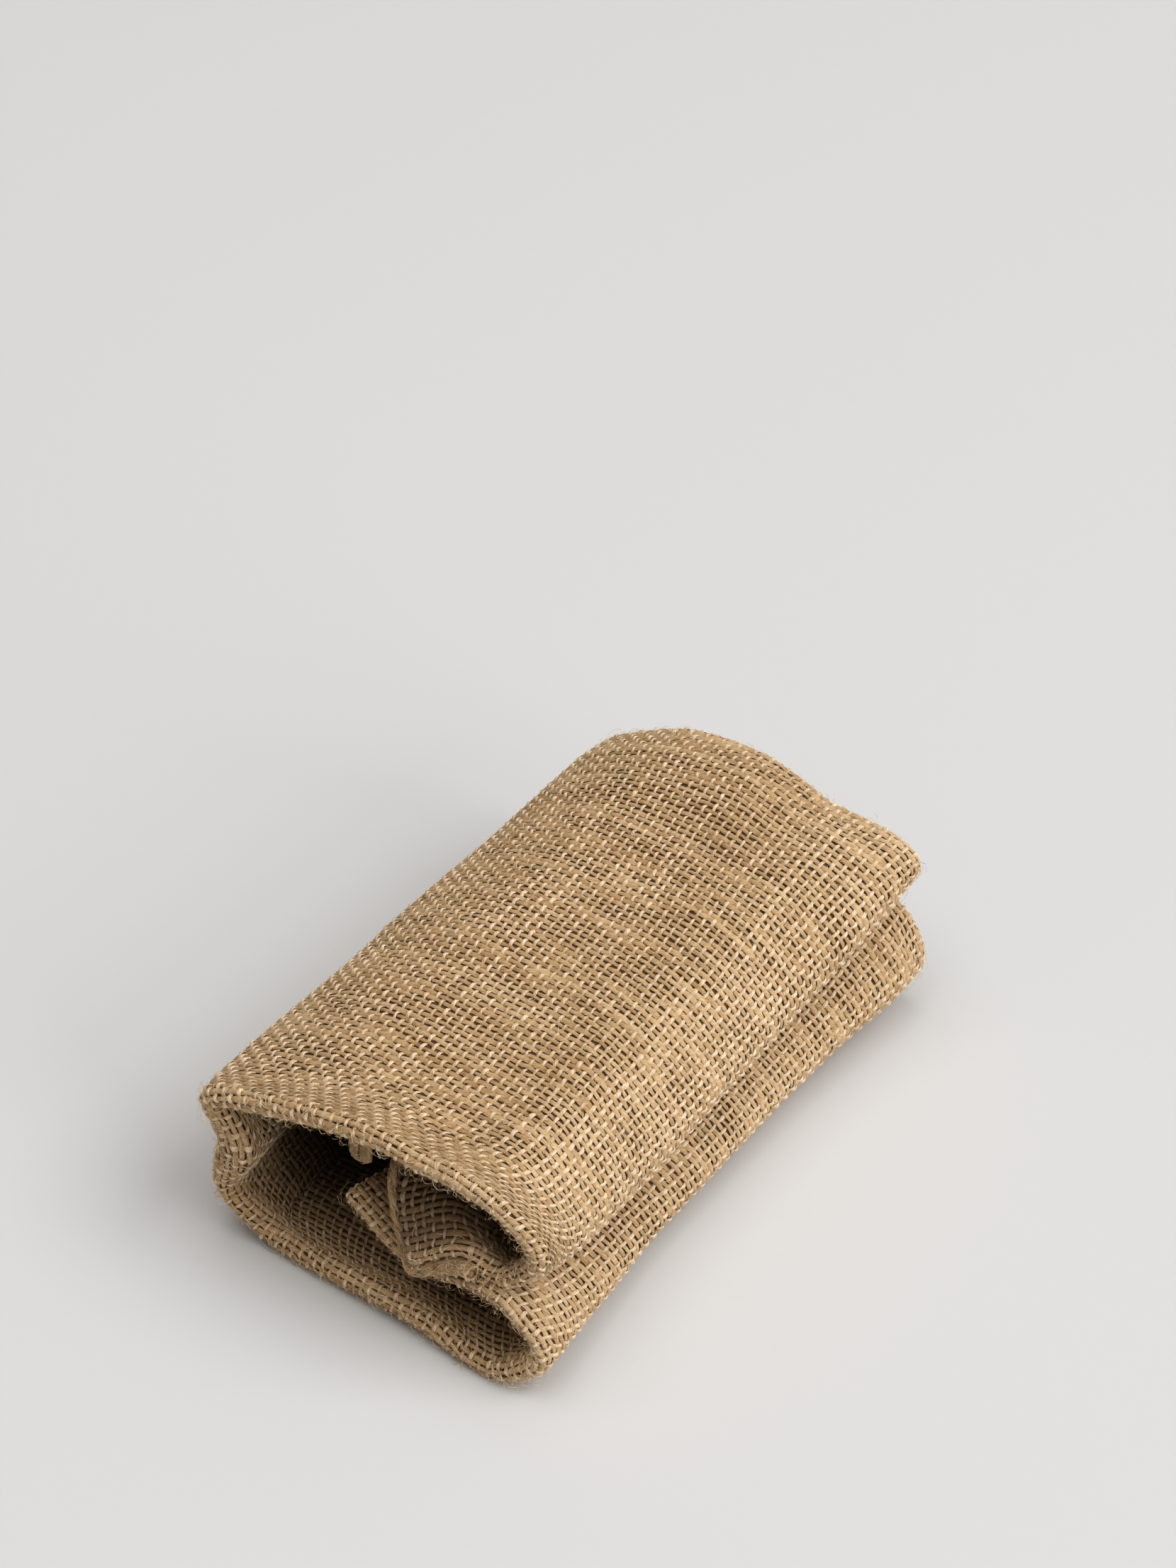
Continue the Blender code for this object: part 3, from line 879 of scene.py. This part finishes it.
# each piece: the bends it runs between, then the detail of its outside and of its near inside
weavePieces = {
    "weave_flap": (0, 2.0, "light", "full"),
    "weave_upper_fold": (2.0, 4.6, "full", "full"),
    "weave_top": (4.6, 7.5, "full", "light"),
    "weave_wall": (7.5, 11.0, "full", "full"),
    "weave_bottom": (11.0, 13.2, "light", "full"),
    "weave_lower_fold": (13.2, 15.6, "full", "full"),
    "weave_tail": (15.6, 17, "full", "light"),
}
innerFar = int(math.floor(runStart.min() / repeatV))
for name, (start, end, outerDetail, innerDetail) in weavePieces.items():
    first = cellAt(start)
    last = cellAt(end)
    blocks = [
        weaveBlock(first, last, weave["outerNear"], weave["outerFar"], outerDetail),
        weaveBlock(first, last, weave["innerNear"], weave["outerNear"], innerDetail),
        weaveBlock(first, last, innerFar, weave["innerNear"], "light"),
    ]
    piece = join(blocks, name)
    layYarns(piece)
    shadeSmooth(piece)
    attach(piece, "root")
    print(name, "cells", first, last, "faces", len(piece.data.polygons))


# the overcast seam rolls: strands laid round a path
strandLook = {
    "sides": 8,
    "taper": 1.6,  # length of the tapered ends
    "lumps": (0.18, 5),  # how uneven, and the run of it
    "facetLumps": (0.12, 2.2),
    "tone": 0.5,
    "toneSpread": 0.25,
    "toneRun": 9,
    "mergeDistance": 0.000002,
    "uvStep": 5.3,
    "smoothPasses": 3,
    "layRun": 14,
    "spreadRun": 8,
}
sideRoll = {
    "strands": 3,
    "firstNumber": 0,
    "strandWidth": 2.8,
    "spread": 1.5,
    "unevenSpread": 0.15,
    "lay": 21.0,
    "unevenLay": 0.5,
    "ringStep": 1.1,
    "beside": 2.6,  # from the cloth's edge to the middle of the roll
    "farStop": 112.0,
    "cornerTurns": (30, 60, 90),
    "cornerPlaces": (0.5, 1.0, 1.33),
    "sampleEvery": 4,
}
tuft = {
    "strands": 5,
    "firstNumber": 9,
    "strandWidth": 2.3,
    "width": 7.0,
    "innerWidth": 0.35,  # share of the width that the innermost strand's loop has
    "drop": 14.2,
    "dropSpread": 0.8,
    "shift": 0.9,
    "rootShift": 0.4,
    "sway": 0.5,
    "phases": (2.1, 1.7),
    "turnSteps": 13,
    "ringStep": 0.8,
}
hem = {
    "strands": 2,
    "firstNumber": 20,
    "strandWidth": 1.5,
    "spread": 0.5,
    "unevenSpread": 0.0,
    "lay": 9.0,
    "unevenLay": 0.0,
    "ringStep": 2.0,
    "sampleEvery": 3,
}


def alongPath(points, step):
    # the path at even steps, with its directions
    points = np.asarray(points, dtype=float)
    lengths = np.concatenate([[0], np.cumsum(np.linalg.norm(np.diff(points, axis=0), axis=1))])
    at = np.linspace(0, lengths[-1], int(lengths[-1] / step) + 1)
    even = np.stack([np.interp(at, lengths, points[:, axis]) for axis in range(3)], -1)
    for _ in range(strandLook["smoothPasses"]):
        even[1:-1] = (even[:-2] + 2 * even[1:-1] + even[2:]) / 4
    return at, even, unit(np.gradient(even, axis=0))


def roundPath(ahead, upright, turn, rows=slice(None)):
    # unit vectors that point away from the path, turned round it
    first = unit(np.cross(ahead, upright))
    second = unit(np.cross(first, ahead))
    return first[rows] * np.cos(turn)[:, None] + second[rows] * np.sin(turn)[:, None]


def addStrand(centre, ahead, upright, width, at, number):
    # one fibrous strand; its ends taper to a point
    sides = strandLook["sides"]
    rings = len(centre) - 1
    strand = addGrid("strand", sides, rings)
    i, j = gridIndex(strand.data, sides, rings)
    angle = 2 * math.pi * i / sides
    fade = np.minimum(1, np.minimum(at, at[-1] - at) / strandLook["taper"])[j] ** 0.5
    spread, run = strandLook["lumps"]
    lumps = 1 + spread * yarnNoise(number + 0 * j, at[j] / run, 21)
    spread, run = strandLook["facetLumps"]
    lumps = lumps + spread * yarnNoise(number + 3 * (i % sides), at[j] / run, 22)
    points = centre[j] + roundPath(ahead, upright, angle, j) * (width / 2 * lumps * fade)[:, None]
    writePoints(strand.data, inFrame(points))
    uvAlong = at[j] / uvUnit + strandLook["uvStep"] * number
    setUv(strand.data, np.stack([uvAlong, angle * width / 2 / uvUnit], -1))
    toneNoise = yarnNoise(number + 0 * j, at[j] / strandLook["toneRun"], 23)
    setShade(strand.data, "tone", strandLook["tone"] + strandLook["toneSpread"] * toneNoise)
    select(strand)
    bpy.ops.object.mode_set(mode="EDIT")
    bpy.ops.mesh.select_all(action="SELECT")
    bpy.ops.mesh.remove_doubles(threshold=strandLook["mergeDistance"])
    bpy.ops.mesh.normals_make_consistent(inside=False)
    bpy.ops.object.mode_set(mode="OBJECT")
    strand.data.materials.append(seamJute)
    shadeSmooth(strand)
    return strand


def nearest(centre, points):
    return np.linalg.norm(centre[:, None] - points[None], axis=-1).argmin(axis=1)


def twistStrands(name, look, at, centre, ahead, upright):
    strands = []
    for number in range(look["strands"]):
        turn = 2 * math.pi * (at / look["lay"] + number / look["strands"])
        turn = turn + look["unevenLay"] * yarnNoise(number + 0 * at, at / strandLook["layRun"], 24)
        uneven = look["unevenSpread"] * yarnNoise(number + 0 * at, at / strandLook["spreadRun"], 25)
        spread = look["spread"] * (1 + uneven)
        line = centre + roundPath(ahead, upright, turn) * spread[:, None]
        strands.append(addStrand(line, ahead, upright, look["strandWidth"], at, number + look["firstNumber"]))
    return join(strands, name)


def sidePath():
    # from the far end along the flap's edge, round its near corner and a little way along the near end
    rows = np.flatnonzero(y <= sideRoll["farStop"])[::-1]
    beside = sideRoll["beside"]
    points = [flapEdge["middle"][row] - flapEdge["across"][row] * beside for row in rows]
    ups = [flapEdge["out"][row] for row in rows]
    edge = nearEnd["along"][0]
    corner = nearEnd["middle"][0] - edge * fold["halfStack"]
    for turn in np.radians(sideRoll["cornerTurns"]):
        side = flapEdge["across"][0] * math.cos(turn) + edge * math.sin(turn)
        points.append(corner - side * beside)
        ups.append(flapEdge["out"][0])
    for place in sideRoll["cornerPlaces"]:
        index = int(round(place * net["placeSteps"]))
        points.append(nearEnd["middle"][index] - nearEnd["along"][index] * (fold["halfStack"] + beside))
        ups.append(nearEnd["out"][index])
    return np.array(points), np.array(ups)


def makeSideSeam():
    points, ups = sidePath()
    at, centre, ahead = alongPath(points, sideRoll["ringStep"])
    every = sideRoll["sampleEvery"]
    upright = ups[nearest(centre, points[::every]) * every]
    return twistStrands("side_seam_roll", sideRoll, at, centre, ahead, upright), (at, centre, ahead, upright)


def makeSeamTuft():
    upright = np.array([[0.0, 1.0, 0.0]])
    strands = []
    for number in range(tuft["strands"]):
        share = number / (tuft["strands"] - 1)
        half = tuft["width"] / 2 * mix(tuft["innerWidth"], 1.0, share)
        shift = tuft["shift"] * math.sin(number * tuft["phases"][0])
        drop = tuft["drop"] + tuft["dropSpread"] * math.cos(number * tuft["phases"][1])
        points = [(-half, shift * tuft["rootShift"], 0.0)]
        for turn in np.linspace(0, math.pi, tuft["turnSteps"]):
            sway = shift + tuft["sway"] * math.sin(2 * turn + number)
            points.append((-half * math.cos(turn), sway, -drop - half * math.sin(turn)))
        points.append((half, shift * tuft["rootShift"], 0.0))
        at, centre, ahead = alongPath(tuftTop + np.array(points), tuft["ringStep"])
        strands.append(addStrand(centre, ahead, upright, tuft["strandWidth"], at, number + tuft["firstNumber"]))
    return join(strands, "seam_tuft")


def makeClothHem():
    # the cloth's inner end is bound with two thin strands
    every = hem["sampleEvery"]
    edge = path[0, ::every]
    at, centre, ahead = alongPath(edge, hem["ringStep"])
    upright = np.cross(ahead, along[-1, ::every][nearest(centre, edge)])
    return twistStrands("cloth_hem", hem, at, centre, ahead, upright)


sideSeam, sideSeamPath = makeSideSeam()
clothHem = makeClothHem()
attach(clothHem, "root")
seamTuft = makeSeamTuft()
for piece, node in ((sideSeam, "seam_side"), (seamTuft, "seam_end")):
    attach(piece, "root")
    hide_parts(node)
    print(piece.name, "faces", len(piece.data.polygons))


# loose fibres: one bent hair, copied over the cloth and round the seams
hairShape = {
    "segments": 6,
    "width": 0.11,
    "tipWidth": 0.08,
    "bend": 0.7,
    "bendReach": 1.6,
    "curl": 0.3,
    "fullTurn": 6.28,
    "arch": (0.5, 1.4),  # under 1, a hair's tip stands off the cloth
    "archPower": 0.8,
    "pathSteps": 24,
    "rootHeight": 0.45,
    "liftPower": 2.2,  # over 1, most hairs lie low
    "fullLift": 5,  # a shorter hair is lifted less
    "twist": 2.2,
    "uvStep": 3.3,
    "uvWidth": 0.02,
    "apart": 2.0,  # between the flat copies, before they are laid
}
surfaceFibres = {
    "count": 11000,
    "length": (2.0, 8.0),
    "lift": (0.1, 1.3),
    "seed": 11,
    "margin": 2,
    "runs": (-150, 124),
    "onFolds": 0.3,  # share of the hairs that stand on the rubbed round folds
    "foldPlaces": (3.8, 14.2),
    "foldSpread": 13,
    "acrossShare": 0.6,
    "headingSpread": 0.5,
}
rimFibres = {
    "count": 3600,
    "length": (3.0, 11.0),
    "lift": (0.3, 3.6),
    "seed": 12,
    "farShare": 0.25,
    "far": (119, 2.5),  # middle and spread along the cloth
    "near": (-123, 4.0),
}
seamFibres = {
    "count": 2200,
    "length": (3.0, 9.0),
    "lift": (0.05, 0.9),
    "seed": 13,
    "girth": 15.1,
    "girthRadius": 2.4,
    "face": 2.0,
    "nearShare": 0.6,
    "nearReach": 22,
    "headingSpread": 0.45,
}
tuftFibres = {
    "count": 260,
    "length": (3.0, 8.0),
    "lift": (0.05, 0.9),
    "seed": 14,
    "girth": 21.4,
    "girthRadius": 3.4,
    "halfWidth": 3.3,
    "halfDepth": 1.6,
    "tipReach": 0.8,
    "roundedShare": 0.28,
    "rootReach": 14,
    "headingSpread": 0.5,
}
fibreJute = juteMaterial("loose_fibre", fibreLook)


def addFibres(name, look, place, lay):
    # place gives each hair its root and its direction; lay turns flat positions into space
    count = look["count"]
    apart = hairShape["apart"]
    hair = addGrid(name, 1, hairShape["segments"])
    copyInRow(hair, count, (apart, 0, 0))
    points = readPoints(hair.data)
    number = np.rint(points[:, 0] / apart).astype(int)
    side = points[:, 0] - apart * number
    t = points[:, 1] + 0.5
    chance = np.random.default_rng(look["seed"])
    rootU, rootS, heading = place(chance, count)
    size = mix(look["length"][0], look["length"][1], chance.random(count) ** 2)
    lift = mix(look["lift"][0], look["lift"][1], chance.random(count) ** hairShape["liftPower"])
    lift = lift * np.minimum(size / hairShape["fullLift"], 1)
    bend = chance.normal(0, hairShape["bend"], count)
    curl = chance.normal(0, hairShape["curl"], count)
    wave = chance.uniform(0, hairShape["fullTurn"], count)
    arch = chance.uniform(*hairShape["arch"], count)
    tone = chance.random(count)

    # each hair's bent path on the flat cloth
    steps = hairShape["pathSteps"]
    u = np.zeros((count, steps + 1))
    s = np.zeros((count, steps + 1))
    for step in range(steps):
        at = (step + 0.5) / steps
        turned = heading + bend * at * hairShape["bendReach"]
        turned = turned + curl * np.sin(hairShape["fullTurn"] * at + wave)
        u[:, step + 1] = u[:, step] + np.cos(turned) * size / steps
        s[:, step + 1] = s[:, step] + np.sin(turned) * size / steps
    at = t * steps
    low = np.minimum(at.astype(int), steps - 1)
    part = at - low
    lineU = rootU[number] + mix(u[number, low], u[number, low + 1], part)
    lineS = rootS[number] + mix(s[number, low], s[number, low + 1], part)
    rise = np.sin(math.pi * np.clip(t * arch[number], 0, 1)) ** hairShape["archPower"]
    height = hairShape["rootHeight"] + lift[number] * rise

    # the hair's width, thin at both tips and twisted along it
    stepU = u[number, low + 1] - u[number, low]
    stepS = s[number, low + 1] - s[number, low]
    flat = np.sqrt(stepU**2 + stepS**2) + 1e-9
    twist = wave[number] + hairShape["twist"] * t
    width = side * (hairShape["width"] * np.sqrt(np.clip(4 * t * (1 - t), hairShape["tipWidth"], 1)))
    lineU = lineU - width * stepS / flat * np.cos(twist)
    lineS = lineS + width * stepU / flat * np.cos(twist)
    height = height + width * np.sin(twist)
    writePoints(hair.data, lay(lineU, lineS, height))
    setShade(hair.data, "tone", tone[number])
    uvAlong = t * size[number] / uvUnit + hairShape["uvStep"] * number
    setUv(hair.data, np.stack([uvAlong, side * hairShape["uvWidth"]], -1))
    hair.data.materials.append(fibreJute)
    shadeSmooth(hair)
    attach(hair, "root")
    print(name, count, "hairs")
    return hair


def overCloth(chance, count):
    look = surfaceFibres
    upper, lower = [widthAt(place) for place in look["foldPlaces"]]
    u = chance.uniform(look["margin"], clothWidth - look["margin"], count)
    foldMiddle = np.where(chance.random(count) < 0.5, upper, lower)
    onFold = chance.random(count) < look["onFolds"]
    u = np.where(onFold, foldMiddle + chance.normal(0, look["foldSpread"], count), u)
    s = chance.uniform(*look["runs"], count)
    heading = np.where(chance.random(count) < look["acrossShare"], 0.0, math.pi / 2)
    heading = heading + chance.normal(0, look["headingSpread"], count)
    return u, s, heading + math.pi * (chance.random(count) < 0.5)


def overRims(chance, count):
    u = chance.uniform(0, clothWidth, count)
    atFar = chance.random(count) < rimFibres["farShare"]
    far = chance.normal(*rimFibres["far"], count)
    s = np.where(atFar, far, chance.normal(*rimFibres["near"], count))
    return u, s, chance.uniform(0, hairShape["fullTurn"], count)


def onSeam(u, s, h):
    # u runs round the roll and s along it
    at, centre, ahead, upright = sideSeamPath
    row = np.clip(s, 0, at[-1] - 0.01) / (at[1] - at[0])
    low = row.astype(int)
    middle = mix(centre[low], centre[low + 1], (row - low)[:, None])
    around = roundPath(ahead, upright, u / seamFibres["girthRadius"], low)
    return inFrame(middle + around * (seamFibres["face"] + h)[:, None])


def roundSeam(chance, count):
    look = seamFibres
    last = sideSeamPath[0][-1]
    atNear = chance.random(count) < look["nearShare"]
    near = last - chance.exponential(look["nearReach"], count)
    s = np.where(atNear, near, chance.uniform(0, last, count))
    heading = math.pi / 2 + chance.normal(0, look["headingSpread"], count)
    heading = heading + math.pi * (chance.random(count) < 0.5)
    return chance.uniform(0, look["girth"], count), np.clip(s, 0, last), heading


def onTuft(u, s, h):
    # u runs round the tuft and s down it
    look = tuftFibres
    angle = u / look["girthRadius"]
    drop = tuft["drop"] + tuft["width"] / 2 + look["tipReach"]
    down = np.clip(s / drop, 0, 1)
    nearTip = np.clip((down - (1 - look["roundedShare"])) / look["roundedShare"], 0, 1)
    girth = np.sqrt(np.clip(1 - nearTip**2, 0, 1))
    x = np.cos(angle) * (look["halfWidth"] + h) * girth
    depth = np.sin(angle) * (look["halfDepth"] + h) * girth
    z = -down * drop - h * (1 - girth)
    return inFrame(tuftTop + np.stack([x, depth, z], -1))


def roundTuft(chance, count):
    heading = math.pi / 2 + chance.normal(0, tuftFibres["headingSpread"], count)
    u = chance.uniform(0, tuftFibres["girth"], count)
    return u, chance.uniform(0, tuftFibres["rootReach"], count), heading


looseFibres = [
    addFibres("surface_fibres", surfaceFibres, overCloth, onCloth),
    addFibres("rim_fibres", rimFibres, overRims, onCloth),
    addFibres("seam_fibres", seamFibres, roundSeam, onSeam),
    addFibres("tuft_fibres", tuftFibres, roundTuft, onTuft),
]


floorLook = {"size": 40.0, "below": 0.0002, "colour": (0.65, 0.655, 0.665), "roughness": 0.9}


def makeFloor():
    select()
    bpy.ops.mesh.primitive_plane_add(size=floorLook["size"], location=(0, 0, -floorLook["below"]))
    floor = bpy.context.object
    floor.name = "floor"
    paint = bpy.data.materials.new("floor_paint")
    paint.use_nodes = True
    colour = (*floorLook["colour"], 1)
    shader = paint.node_tree.nodes["Principled BSDF"]
    setInputs(shader, {"Base Color": colour, "Roughness": floorLook["roughness"]})
    floor.data.materials.append(paint)
    return floor


floor = makeFloor()

lightAim = (0.0, 0.0, 0.04)
lights = {
    "key_light": {"place": (4.6, 1.9, 6.4), "size": 4.6, "watts": 360.0, "colour": (1.0, 0.985, 0.965)},
    "side_card": {"place": (7.6, -0.6, 2.5), "size": 5.0, "watts": 320.0, "colour": (0.99, 0.99, 1.0)},
    "fill_light": {"place": (-0.5, -0.8, 8.0), "size": 7.0, "watts": 410.0, "colour": (1.0, 0.98, 0.95)},
}
sky = {"colour": (1.0, 0.96, 0.91), "strength": 0.22}
display = {"transform": "Standard", "look": "Medium High Contrast", "exposure": -0.38}


def addLight(name, look):
    select()
    bpy.ops.object.light_add(type="AREA", location=look["place"])
    light = bpy.context.object
    light.name = name
    light.data.shape = "SQUARE"
    light.data.size = look["size"]
    light.data.energy = look["watts"]
    light.data.color = look["colour"]
    x, y, z = np.array(lightAim) - np.array(look["place"])
    light.rotation_euler = (math.atan2(math.hypot(x, y), -z), 0, math.atan2(-x, y))


for name, look in lights.items():
    addLight(name, look)
world = bpy.data.worlds.new("studio")
bpy.context.scene.world = world
world.use_nodes = True
setInputs(world.node_tree.nodes["Background"], {"Color": (*sky["colour"], 1), "Strength": sky["strength"]})
shown = bpy.context.scene.view_settings
shown.view_transform = display["transform"]
shown.look = display["look"]
shown.exposure = display["exposure"]
print("floor and lights placed")

view = {
    "place": (0.49742221, -0.67900018, 0.88712467),
    "pitch": 41.0,
    "turn": 36.0,
    "lens": 76.49,
    "sensor": 36.0,
}
select()
bpy.ops.object.camera_add(location=view["place"])
camera = bpy.context.object
camera.name = "camera"
camera.rotation_euler = (math.radians(90 - view["pitch"]), 0, math.radians(view["turn"]))
camera.data.lens = view["lens"]
camera.data.sensor_width = view["sensor"]
bpy.context.scene.camera = camera
